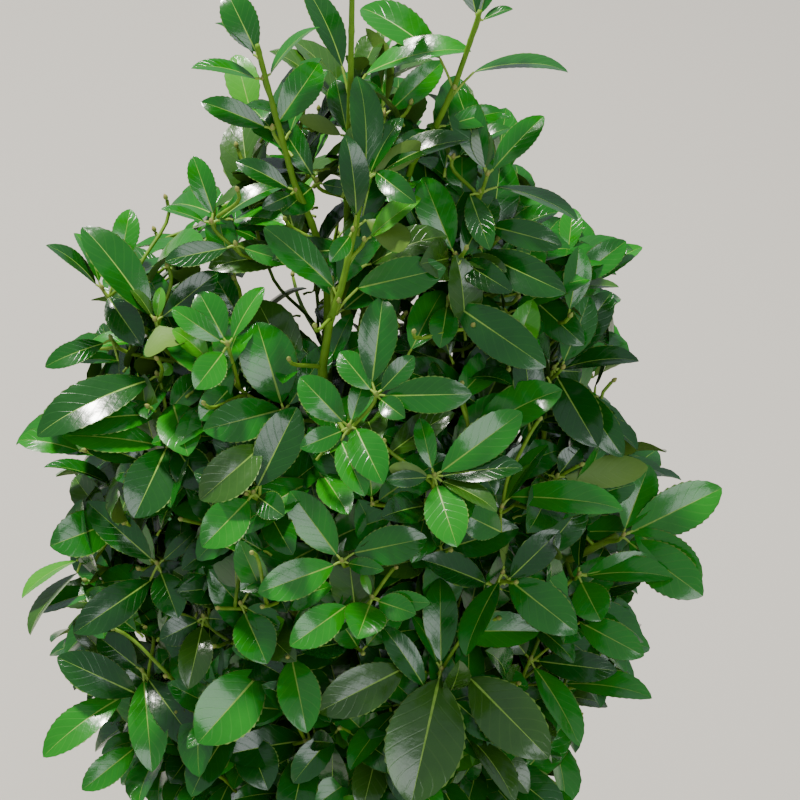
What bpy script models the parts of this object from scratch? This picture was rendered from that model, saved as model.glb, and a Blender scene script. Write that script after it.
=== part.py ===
"""Potted japanese spindle: an evergreen shrub in a round nursery container.

Metres, +Z up. The origin is the centre of the container's flat underside, and
the side of the crown that is seen most faces -Y.
"""

import math
import random

import bmesh
import bpy
from mathutils import Vector
from mathutils.geometry import interpolate_bezier

# Container
POT_HEIGHT = 0.180
RIM_RADIUS = 0.112
SKIRT_DEPTH = 0.012
MOUTH_RADIUS = 0.1036
BASE_RADIUS = 0.080
WALL = 0.0018
DRAIN_RADIUS = 0.005
DRAIN_COUNT = 8
DRAIN_CIRCLE = 0.064

# Compost, which the stems stand on
COMPOST_TOP = 0.164
COMPOST_EDGE = 0.160
COMPOST_FLAT = 0.045

GAP = 0.0003
TURN_STEPS = 40
STEM_SIDES = 6
BOUGH_SIDES = 6
FLARE = 1.75
FLARE_HEIGHT = 0.014
LOWEST_LEAF = 0.187
LOWEST_OUTSIDE = 0.178

# Every stem rises from the compost: foot and tip radius, then the bends from the cut foot to the tip
STEMS = {
    "stem_left": (0.0050, 0.0018, [
        (-0.020, 0.002, COMPOST_TOP), (-0.015, 0.000, 0.360), (-0.006, -0.003, 0.500),
        (-0.008, -0.005, 0.570), (-0.022, -0.003, 0.612), (-0.039, 0.003, 0.690)]),
    "stem_centre": (0.0048, 0.0018, [
        (0.006, 0.018, COMPOST_TOP), (0.003, 0.017, 0.380), (0.004, 0.016, 0.550),
        (0.007, 0.015, 0.660), (0.009, 0.014, 0.748)]),
    "stem_right": (0.0050, 0.0018, [
        (0.022, -0.002, COMPOST_TOP), (0.021, 0.009, 0.400), (0.029, 0.013, 0.577),
        (0.048, 0.016, 0.628), (0.060, 0.017, 0.658), (0.072, 0.019, 0.700)]),
    "stem_front": (0.0052, 0.0018, [
        (0.000, -0.018, COMPOST_TOP), (-0.005, -0.034, 0.400), (-0.008, -0.041, 0.523),
        (0.002, -0.038, 0.570), (0.010, -0.031, 0.606), (0.015, -0.026, 0.636)]),
}

# Every bough leaves a stem at a height: root and tip radius, its bend, and its end inside its foliage
BOUGHS = {
    "bough_left_foot": ("stem_left", 0.212, 0.0036, 0.0022, (-0.066, -0.022, 0.256), (-0.100, -0.036, 0.292)),
    "bough_left_low": ("stem_left", 0.262, 0.0034, 0.0021, (-0.074, -0.010, 0.336), (-0.112, -0.014, 0.382)),
    "bough_left": ("stem_left", 0.335, 0.0032, 0.0020, (-0.058, -0.012, 0.418), (-0.092, -0.018, 0.462)),
    "bough_left_shoulder": ("stem_left", 0.412, 0.0030, 0.0018, (-0.066, 0.002, 0.474), (-0.103, 0.003, 0.516)),
    "bough_right_shoulder": ("stem_right", 0.462, 0.0028, 0.0018, (0.056, 0.004, 0.516), (0.084, -0.003, 0.545)),
    "bough_right": ("stem_right", 0.352, 0.0032, 0.0020, (0.074, -0.003, 0.410), (0.112, -0.012, 0.452)),
    "bough_right_arm": ("stem_right", 0.282, 0.0036, 0.0020, (0.092, -0.010, 0.346), (0.150, -0.018, 0.392)),
    "bough_right_low": ("stem_right", 0.222, 0.0036, 0.0022, (0.066, -0.028, 0.268), (0.100, -0.046, 0.306)),
    "bough_front": ("stem_front", 0.232, 0.0038, 0.0024, (0.026, -0.064, 0.292), (0.052, -0.088, 0.356)),
    "bough_front_foot": ("stem_front", 0.200, 0.0032, 0.0020, (-0.012, -0.054, 0.232), (-0.014, -0.080, 0.276)),
    "bough_centre": ("stem_front", 0.305, 0.0030, 0.0018, (-0.020, -0.060, 0.362), (-0.029, -0.080, 0.404)),
    "bough_right_centre": ("stem_front", 0.372, 0.0028, 0.0018, (0.026, -0.058, 0.426), (0.056, -0.074, 0.460)),
    "bough_back_left": ("stem_left", 0.300, 0.0032, 0.0020, (-0.062, 0.034, 0.392), (-0.098, 0.058, 0.438)),
    "bough_back_centre": ("stem_centre", 0.345, 0.0032, 0.0020, (-0.002, 0.060, 0.412), (-0.010, 0.092, 0.450)),
    "bough_back_right": ("stem_right", 0.318, 0.0032, 0.0020, (0.054, 0.054, 0.380), (0.080, 0.088, 0.422)),
    "bough_back_low_left": ("stem_centre", 0.232, 0.0034, 0.0020, (-0.046, 0.046, 0.280), (-0.086, 0.072, 0.318)),
    "bough_back_low": ("stem_centre", 0.204, 0.0034, 0.0020, (0.006, 0.072, 0.262), (0.002, 0.110, 0.314)),
    "bough_back_low_right": ("stem_right", 0.196, 0.0034, 0.0020, (0.056, 0.042, 0.256), (0.094, 0.076, 0.304)),
    "bough_back_upper": ("stem_centre", 0.452, 0.0028, 0.0018, (0.014, 0.040, 0.506), (0.022, 0.056, 0.538)),
}

# Every mass of foliage: centre, half sizes, then the sprays that stand out of it, each with its
# direction and how far it reaches beyond the rest
MASSES = {
    "left_leader_tuft": ((-0.040, 0.004, 0.668), (0.036, 0.026, 0.040),
                         [((-0.2, 0, 1), 0.20), ((1, 0, -0.2), 0.25), ((-1, 0, 0.2), 0.15)]),
    "centre_leader_tuft": ((0.009, 0.015, 0.704), (0.032, 0.026, 0.066),
                           [((-0.6, 0, 0.8), 0.20), ((0.6, 0, 0.8), 0.20), ((1, 0, 0), 0.15)]),
    "right_leader_tuft": ((0.072, 0.018, 0.676), (0.036, 0.024, 0.040),
                          [((0, 0, 1), 0.22), ((1, 0, -0.3), 0.20), ((-1, 0, 0.3), 0.20)]),
    "upper_left_mass": ((-0.044, 0.000, 0.592), (0.042, 0.030, 0.034),
                        [((-1, 0, 0.5), 0.25), ((-0.4, 0.2, 1), 0.15)]),
    "upper_centre_mass": ((0.018, -0.014, 0.616), (0.038, 0.040, 0.040),
                          [((-0.1, -0.1, 1), 0.35), ((1, -0.3, 0.6), 0.28)]),
    "upper_right_mass": ((0.076, 0.006, 0.604), (0.042, 0.036, 0.036),
                         [((1, 0, -0.3), 0.15), ((0.3, 0, 1), 0.12)]),
    "left_shoulder_mass": ((-0.110, 0.004, 0.530), (0.042, 0.036, 0.046),
                           [((-0.8, 0, 0.7), 0.22), ((0.1, 0, 1), 0.15), ((-0.3, 0, -1), 0.10)]),
    "left_inner_mass": ((-0.044, -0.022, 0.516), (0.040, 0.044, 0.044),
                        [((0, -1, 0.3), 0.12), ((-0.6, 0, 0.8), 0.12)]),
    "right_shoulder_mass": ((0.088, -0.004, 0.550), (0.052, 0.044, 0.034),
                            [((1, 0, 0.2), 0.2), ((0.3, -1, 0), 0.12)]),
    "right_mass": ((0.118, -0.014, 0.466), (0.050, 0.048, 0.056),
                   [((1, 0, 0.4), 0.12), ((0.5, -1, -0.1), 0.25), ((0.3, 0, -1), 0.12)]),
    "centre_upper_mass": ((0.010, -0.066, 0.514), (0.044, 0.044, 0.040),
                          [((0.2, -0.1, 1), 0.40), ((1, -0.3, 0), 0.15)]),
    "left_mass": ((-0.104, -0.020, 0.456), (0.056, 0.046, 0.042),
                  [((-1, 0, -0.2), 0.2), ((0, -1, 0), 0.12)]),
    "left_low_mass": ((-0.118, -0.012, 0.372), (0.048, 0.046, 0.044),
                      [((-0.9, -0.2, -0.8), 0.26), ((0.2, -1, 0.2), 0.12), ((-1, 0, 0.8), 0.10)]),
    "left_foot_mass": ((-0.110, -0.040, 0.286), (0.052, 0.052, 0.058),
                       [((-1, -0.2, 0.3), 0.10), ((-0.4, -0.5, -1), 0.15), ((0.6, -1, 0.2), 0.22)]),
    "centre_mass": ((-0.030, -0.084, 0.420), (0.050, 0.044, 0.062),
                    [((-0.7, 0, 1), 0.22), ((0.1, -1, 0.2), 0.10), ((0.6, -0.6, -0.6), 0.12)]),
    "front_foot_mass": ((-0.012, -0.086, 0.276), (0.056, 0.048, 0.056),
                        [((-0.5, -0.6, -0.8), 0.15), ((0.5, -1, 0), 0.12)]),
    "right_centre_mass": ((0.062, -0.080, 0.468), (0.044, 0.042, 0.040),
                          [((0.5, -0.1, 1), 0.35), ((1, -0.2, 0), 0.15), ((0, -0.6, -1), 0.12)]),
    "right_arm_mass": ((0.166, -0.018, 0.396), (0.036, 0.038, 0.040),
                       [((1, 0, 0.5), 0.2), ((0.8, 0, -1), 0.15)]),
    "right_low_mass": ((0.108, -0.050, 0.304), (0.050, 0.050, 0.070),
                       [((0.2, -0.6, 1), 0.22), ((1, -0.1, 0.2), 0.10), ((-0.1, -1, -0.5), 0.20)]),
    "front_mass": ((0.054, -0.092, 0.368), (0.044, 0.044, 0.046),
                   [((0.4, -1, -0.6), 0.22), ((1, -0.5, 0), 0.12)]),
    "back_upper_mass": ((0.022, 0.060, 0.550), (0.064, 0.044, 0.054),
                        [((-1, 0.3, 0.3), 0.2), ((0.8, 0.5, 0.5), 0.15), ((0, 1, 0.2), 0.1)]),
    "back_left_mass": ((-0.100, 0.064, 0.446), (0.058, 0.050, 0.060),
                       [((-1, 0.4, 0.3), 0.18), ((0, 0.6, 1), 0.15)]),
    "back_centre_mass": ((-0.014, 0.098, 0.458), (0.058, 0.050, 0.060),
                         [((-0.4, 1, 0.2), 0.15), ((0.5, 0.4, 1), 0.12)]),
    "back_right_mass": ((0.088, 0.088, 0.432), (0.058, 0.052, 0.062),
                        [((1, 0.5, 0.3), 0.18), ((0.2, 0.5, 1), 0.15)]),
    "back_low_left_mass": ((-0.094, 0.078, 0.304), (0.060, 0.054, 0.068),
                           [((-1, 0.5, 0), 0.18), ((-0.2, 1, -0.5), 0.12)]),
    "back_low_mass": ((0.002, 0.116, 0.302), (0.056, 0.048, 0.070),
                      [((0.3, 1, 0.2), 0.15), ((-0.4, 0.8, -0.6), 0.12)]),
    "back_low_right_mass": ((0.098, 0.080, 0.298), (0.060, 0.054, 0.068),
                            [((1, 0.4, 0.3), 0.18), ((0.3, 1, -0.4), 0.12)]),
}


def clear_scene():
    for thing in list(bpy.data.objects):
        bpy.data.objects.remove(thing, do_unlink=True)


def material(name, color, roughness):
    made = bpy.data.materials.new(name)
    made.use_nodes = True
    shader = made.node_tree.nodes["Principled BSDF"]
    shader.inputs["Base Color"].default_value = (*color, 1.0)
    shader.inputs["Roughness"].default_value = roughness
    shader.inputs["Metallic"].default_value = 0.0
    return made


def collection(name):
    made = bpy.data.collections.new(name)
    bpy.context.scene.collection.children.link(made)
    return made


def add_object(name, data, group, look=None):
    made = bpy.data.objects.new(name, data)
    group.objects.link(made)
    if look:
        made.data.materials.append(look)
    return made


def hide_cutter(cutter):
    cutter.hide_render = True
    cutter.display_type = "WIRE"


def cut(target, cutter):
    change = target.modifiers.new(cutter.name, "BOOLEAN")
    change.operation = "DIFFERENCE"
    change.solver = "EXACT"
    change.object = cutter


def turned(name, profile, group, look):
    """A profile of (radius, height) pairs turned about Z."""
    mesh = bpy.data.meshes.new(name)
    form = bmesh.new()
    corners = [form.verts.new((radius, 0.0, height)) for radius, height in profile]
    for first, second in zip(corners, corners[1:]):
        form.edges.new((first, second))
    form.to_mesh(mesh)
    form.free()
    made = add_object(name, mesh, group, look)
    screw = made.modifiers.new("turn", "SCREW")
    screw.steps = TURN_STEPS
    screw.render_steps = TURN_STEPS
    screw.use_merge_vertices = True
    screw.merge_threshold = 0.00001
    return made


def wall_radius(height):
    """Inner radius of the container's tapered wall."""
    return BASE_RADIUS - WALL + (MOUTH_RADIUS - BASE_RADIUS + WALL) * height / POT_HEIGHT


def make_pot(group, cutters, look):
    rim_inner = MOUTH_RADIUS + 0.0012
    skirt_bottom = POT_HEIGHT - SKIRT_DEPTH
    lip_under = POT_HEIGHT - 0.0022
    floor = 0.0022
    profile = [
        (0.0, floor),
        (wall_radius(floor), floor),
        (wall_radius(POT_HEIGHT - 0.0012), POT_HEIGHT - 0.0012),
        (rim_inner, POT_HEIGHT),
        (RIM_RADIUS - 0.0015, POT_HEIGHT),
        (RIM_RADIUS, POT_HEIGHT - 0.0015),
        (RIM_RADIUS - 0.0008, skirt_bottom),
        (RIM_RADIUS - 0.0026, skirt_bottom),
        (RIM_RADIUS - 0.0022, lip_under),
        (wall_radius(lip_under) + WALL, lip_under),
        (wall_radius(0.004) + WALL, 0.004),
        (BASE_RADIUS - 0.0015, 0.0),
        (0.0, 0.0),
    ]
    pot = turned("pot", profile, group, look)
    for number in range(DRAIN_COUNT):
        angle = 2 * math.pi * (number + 0.5) / DRAIN_COUNT
        mesh = bpy.data.meshes.new(f"drain_{number + 1}")
        form = bmesh.new()
        bmesh.ops.create_cone(form, cap_ends=True, segments=10, radius1=DRAIN_RADIUS,
                              radius2=DRAIN_RADIUS, depth=0.02)
        form.to_mesh(mesh)
        form.free()
        drain = add_object(mesh.name, mesh, cutters)
        drain.location = (DRAIN_CIRCLE * math.cos(angle), DRAIN_CIRCLE * math.sin(angle), 0.0)
        hide_cutter(drain)
        cut(pot, drain)
    return pot


def make_compost(group, look):
    low = 0.0022 + GAP
    profile = [
        (0.0, COMPOST_TOP - GAP),
        (COMPOST_FLAT, COMPOST_TOP - GAP),
        (0.075, COMPOST_TOP - 0.0015),
        (wall_radius(COMPOST_EDGE) - 1.5 * GAP, COMPOST_EDGE),
        (wall_radius(low) - 1.5 * GAP, low),
        (0.0, low),
    ]
    return turned("compost", profile, group, look)


def smooth_path(bends, pieces):
    """Points along a smooth curve through the bends."""
    bends = [Vector(bend) for bend in bends]
    points = [bends[0]]
    for number in range(len(bends) - 1):
        before = bends[max(number - 1, 0)]
        here, there = bends[number], bends[number + 1]
        after = bends[min(number + 2, len(bends) - 1)]
        points += interpolate_bezier(here, here + (there - before) / 6, there - (after - here) / 6,
                                     there, pieces + 1)[1:]
    return points


def limb(name, points, radii, sides, group, look=None):
    """A tapering tube with flat ends, as a closed mesh."""
    data = bpy.data.curves.new(name, "CURVE")
    data.dimensions = "3D"
    data.bevel_depth = 1.0
    data.bevel_resolution = (sides - 4) // 2
    data.use_fill_caps = True
    spline = data.splines.new("POLY")
    spline.points.add(len(points) - 1)
    for corner, place, radius in zip(spline.points, points, radii):
        corner.co = (*place, 1.0)
        corner.radius = radius
    curve = add_object(name + "_curve", data, group)
    bpy.context.view_layer.update()
    mesh = bpy.data.meshes.new_from_object(curve.evaluated_get(bpy.context.evaluated_depsgraph_get()))
    mesh.name = name
    form = bmesh.new()
    form.from_mesh(mesh)
    bmesh.ops.remove_doubles(form, verts=form.verts, dist=0.00001)
    bmesh.ops.triangulate(form, faces=form.faces)
    bmesh.ops.recalc_face_normals(form, faces=form.faces)
    form.to_mesh(mesh)
    form.free()
    made = add_object(name, mesh, group, look)
    made.matrix_world = curve.matrix_world
    bpy.data.objects.remove(curve, do_unlink=True)
    mesh.shade_smooth()
    mesh.set_sharp_from_angle(angle=math.radians(40))
    return made


def taper(points, root, tip):
    """Radius at each point, shrinking along the length."""
    run = [0.0]
    for first, second in zip(points, points[1:]):
        run.append(run[-1] + (second - first).length)
    return [root + (tip - root) * along / run[-1] for along in run]


def stem_shape(name):
    """Points and radii of a stem, with its root flare at the foot."""
    root, tip, bends = STEMS[name]
    points = smooth_path(bends, 2)
    foot = points[0]
    upright = Vector((0, 0, FLARE_HEIGHT))
    points[1:1] = [foot + upright * 0.35, foot + upright]
    radii = taper(points, root, tip)
    radii[0] *= FLARE
    radii[1] *= 1 + (FLARE - 1) * 0.35
    return points, radii


def along_stem(name, height):
    """The point on a stem's axis at a height."""
    points, _ = stem_shape(name)
    for low, high in zip(points, points[1:]):
        if low.z <= height <= high.z:
            return low.lerp(high, (height - low.z) / (high.z - low.z))
    return points[-1]


def bough_shape(name):
    stem, height, root, tip, bend, end = BOUGHS[name]
    points = smooth_path([along_stem(stem, height), bend, end], 2)
    return points, taper(points, root, tip)


def widened(points, radii):
    """The room a limb takes: its own shape with the gap all round it and beyond its tip."""
    last = (points[-1] - points[-2]).normalized()
    return points[:-1] + [points[-1] + last * GAP], [radius + 1.3 * GAP for radius in radii]


def ripple(name):
    """The slow unevenness of one mass, as a function of direction."""
    dice = random.Random("spindle " + name)
    waves = []
    for _ in range(5):
        axis = Vector([dice.gauss(0, 1) for _ in range(3)]).normalized()
        waves.append((axis, dice.uniform(2.0, 4.5), dice.uniform(0, 6.28), dice.uniform(0.02, 0.05)))
    return lambda way: sum(size * math.sin(rate * way.dot(axis) + start)
                           for axis, rate, start, size in waves)


def reach(name, way):
    """How far a mass stands out from its centre in a direction, before its neighbours press on it."""
    _, half, sprays = MASSES[name]
    egg = 1 / math.sqrt(sum((part / size) ** 2 for part, size in zip(way, half)))
    swell = sum(size * max(0.0, (way.dot(Vector(side).normalized()) - 0.55) / 0.45) ** 1.5
                for side, size in sprays)
    return egg * (1 + swell + ripple(name)(way))


def pressed_planes(name):
    """Planes midway to each neighbour, as direction and distance from the mass's centre."""
    centre = Vector(MASSES[name][0])
    planes = []
    for other, (place, _, _) in MASSES.items():
        if other == name:
            continue
        way = Vector(place) - centre
        span = way.length
        way = way.normalized()
        own, theirs = reach(name, way), reach(other, -way)
        if span < 2.2 * (own + theirs):
            planes.append((way, span * own / (own + theirs) - 2 * GAP))
    return planes


def make_mass(name, group, look):
    """One closed, uneven lump, flattened where it meets its neighbours."""
    centre = Vector(MASSES[name][0])
    planes = pressed_planes(name)
    wave = ripple(name)
    mesh = bpy.data.meshes.new(name)
    form = bmesh.new()
    bmesh.ops.create_cube(form, size=1.0)
    bmesh.ops.subdivide_edges(form, edges=form.edges, cuts=3, use_grid_fill=True)
    _, half, sprays = MASSES[name]
    sides = [(Vector(side).normalized(), size) for side, size in sprays]
    for corner in form.verts:
        way = Vector([math.tan(part * math.pi / 2) for part in corner.co]).normalized()
        egg = 1 / math.sqrt(sum((part / size) ** 2 for part, size in zip(way, half)))
        swell = sum(size * max(0.0, (way.dot(side) - 0.55) / 0.45) ** 1.5 for side, size in sides)
        out = egg * (1 + swell + wave(way))
        for side, distance in planes:
            facing = way.dot(side)
            if facing * out > distance:
                out = distance / facing
        place = centre + way * out
        lowest = LOWEST_LEAF if math.hypot(place.x, place.y) < RIM_RADIUS + 0.012 else LOWEST_OUTSIDE
        if place.z < lowest:
            place = centre + way * ((lowest - centre.z) / way.z)
        corner.co = place
    bmesh.ops.triangulate(form, faces=form.faces)
    bmesh.ops.recalc_face_normals(form, faces=form.faces)
    form.to_mesh(mesh)
    form.free()
    return add_object(name, mesh, group, look)


def near(points, radii, mass):
    """Whether a limb comes close enough to a mass to need room in it."""
    centre, half, _ = MASSES[mass]
    for first, second in zip(points, points[1:]):
        for part in range(5):
            place = first.lerp(second, part / 4)
            if all(abs(place[k] - centre[k]) < 1.45 * half[k] + radii[0] for k in range(3)):
                return True
    return False


def build():
    clear_scene()
    group = collection("potted_japanese_spindle")
    cutters = collection("cutters")
    plastic = material("pot_plastic", (0.018, 0.020, 0.024), 0.42)
    soil = material("compost", (0.020, 0.014, 0.009), 0.95)
    bark = material("bark", (0.110, 0.085, 0.055), 0.85)
    green_bark = material("green_bark", (0.130, 0.160, 0.040), 0.60)
    foliage = material("foliage", (0.025, 0.130, 0.018), 0.45)

    make_pot(group, cutters, plastic)
    make_compost(group, soil)

    limbs = {}
    for name in STEMS:
        points, radii = stem_shape(name)
        limb(name, points, radii, STEM_SIDES, group, bark)
        limbs[name] = (points, radii, STEM_SIDES)
    rooms = {}
    for name, (points, radii, sides) in limbs.items():
        rooms[name] = limb("room_" + name, *widened(points, radii), sides, cutters)
    for name in BOUGHS:
        points, radii = bough_shape(name)
        bough = limb(name, points, radii, BOUGH_SIDES, group, green_bark)
        cut(bough, rooms[BOUGHS[name][0]])
        limbs[name] = (points, radii, BOUGH_SIDES)
    for name in BOUGHS:
        points, radii, sides = limbs[name]
        rooms[name] = limb("room_" + name, *widened(points, radii), sides, cutters)
    for room in rooms.values():
        hide_cutter(room)

    for name in MASSES:
        mass = make_mass(name, group, foliage)
        for other, (points, radii, _) in limbs.items():
            if near(points, radii, name):
                cut(mass, rooms[other])


build()
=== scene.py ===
import math
import random

import bmesh
import bpy
import numpy as np
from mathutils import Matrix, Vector, noise
from mathutils.geometry import interpolate_bezier


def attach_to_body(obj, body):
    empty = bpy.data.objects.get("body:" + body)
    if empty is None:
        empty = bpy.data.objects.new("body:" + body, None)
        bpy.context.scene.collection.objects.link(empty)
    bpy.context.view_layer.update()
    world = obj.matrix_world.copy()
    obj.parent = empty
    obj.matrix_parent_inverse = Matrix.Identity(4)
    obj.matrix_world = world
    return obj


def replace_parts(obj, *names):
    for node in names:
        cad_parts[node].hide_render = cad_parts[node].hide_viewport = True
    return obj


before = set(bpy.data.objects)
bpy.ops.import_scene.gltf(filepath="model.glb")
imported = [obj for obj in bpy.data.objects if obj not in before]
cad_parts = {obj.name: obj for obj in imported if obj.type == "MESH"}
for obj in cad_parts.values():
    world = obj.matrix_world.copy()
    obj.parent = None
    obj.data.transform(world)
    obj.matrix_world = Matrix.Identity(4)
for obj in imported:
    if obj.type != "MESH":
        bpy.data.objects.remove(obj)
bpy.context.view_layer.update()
print("frame loaded")

# The view of the photograph, whose leaves are placed by where they show in it
viewPoint = Vector((0.032, -1.509, 1.612))
viewPitch = math.radians(37.1)
pixelFocus = 3545.0
pictureSize = 800
pictureMiddle = pictureSize / 2
forward = Vector((0, math.cos(viewPitch), -math.sin(viewPitch)))
upward = Vector((0, math.sin(viewPitch), math.cos(viewPitch)))

# Stems and boughs run where the solids do. A stem: its root and tip radius and the points it bends
# through. A bough: the stem and height it leaves from, its root and tip radius, its bend and its end.
compostTop = 0.164
stems = {
    "stem_left": (0.0050, 0.0018, [
        (-0.020, 0.002, compostTop), (-0.015, 0.000, 0.360), (-0.006, -0.003, 0.500),
        (-0.008, -0.005, 0.570), (-0.022, -0.003, 0.612), (-0.039, 0.003, 0.690)]),
    "stem_centre": (0.0048, 0.0018, [
        (0.006, 0.018, compostTop), (0.003, 0.017, 0.380), (0.004, 0.016, 0.550),
        (0.007, 0.015, 0.660), (0.009, 0.014, 0.748)]),
    "stem_right": (0.0050, 0.0018, [
        (0.022, -0.002, compostTop), (0.021, 0.009, 0.400), (0.029, 0.013, 0.577),
        (0.048, 0.016, 0.628), (0.060, 0.017, 0.658), (0.072, 0.019, 0.700)]),
    "stem_front": (0.0052, 0.0018, [
        (0.000, -0.018, compostTop), (-0.005, -0.034, 0.400), (-0.008, -0.041, 0.523),
        (0.002, -0.038, 0.570), (0.010, -0.031, 0.606), (0.015, -0.026, 0.636)]),
}
boughs = {
    "bough_left_foot": (
        "stem_left", 0.212, 0.0036, 0.0022, (-0.066, -0.022, 0.256), (-0.100, -0.036, 0.292)),
    "bough_left_low": (
        "stem_left", 0.262, 0.0034, 0.0021, (-0.074, -0.010, 0.336), (-0.112, -0.014, 0.382)),
    "bough_left": (
        "stem_left", 0.335, 0.0032, 0.0020, (-0.058, -0.012, 0.418), (-0.092, -0.018, 0.462)),
    "bough_left_shoulder": (
        "stem_left", 0.412, 0.0030, 0.0018, (-0.066, 0.002, 0.474), (-0.103, 0.003, 0.516)),
    "bough_right_shoulder": (
        "stem_right", 0.462, 0.0028, 0.0018, (0.056, 0.004, 0.516), (0.084, -0.003, 0.545)),
    "bough_right": (
        "stem_right", 0.352, 0.0032, 0.0020, (0.074, -0.003, 0.410), (0.112, -0.012, 0.452)),
    "bough_right_arm": (
        "stem_right", 0.282, 0.0036, 0.0020, (0.092, -0.010, 0.346), (0.150, -0.018, 0.392)),
    "bough_right_low": (
        "stem_right", 0.222, 0.0036, 0.0022, (0.066, -0.028, 0.268), (0.100, -0.046, 0.306)),
    "bough_front": (
        "stem_front", 0.232, 0.0038, 0.0024, (0.026, -0.064, 0.292), (0.052, -0.088, 0.356)),
    "bough_front_foot": (
        "stem_front", 0.200, 0.0032, 0.0020, (-0.012, -0.054, 0.232), (-0.014, -0.080, 0.276)),
    "bough_centre": (
        "stem_front", 0.305, 0.0030, 0.0018, (-0.020, -0.060, 0.362), (-0.029, -0.080, 0.404)),
    "bough_right_centre": (
        "stem_front", 0.372, 0.0028, 0.0018, (0.026, -0.058, 0.426), (0.056, -0.074, 0.460)),
    "bough_back_left": (
        "stem_left", 0.300, 0.0032, 0.0020, (-0.062, 0.034, 0.392), (-0.098, 0.058, 0.438)),
    "bough_back_centre": (
        "stem_centre", 0.345, 0.0032, 0.0020, (-0.002, 0.060, 0.412), (-0.010, 0.092, 0.450)),
    "bough_back_right": (
        "stem_right", 0.318, 0.0032, 0.0020, (0.054, 0.054, 0.380), (0.080, 0.088, 0.422)),
    "bough_back_low_left": (
        "stem_centre", 0.232, 0.0034, 0.0020, (-0.046, 0.046, 0.280), (-0.086, 0.072, 0.318)),
    "bough_back_low": (
        "stem_centre", 0.204, 0.0034, 0.0020, (0.006, 0.072, 0.262), (0.002, 0.110, 0.314)),
    "bough_back_low_right": (
        "stem_right", 0.196, 0.0034, 0.0020, (0.056, 0.042, 0.256), (0.094, 0.076, 0.304)),
    "bough_back_upper": (
        "stem_centre", 0.452, 0.0028, 0.0018, (0.014, 0.040, 0.506), (0.022, 0.056, 0.538)),
}

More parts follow.
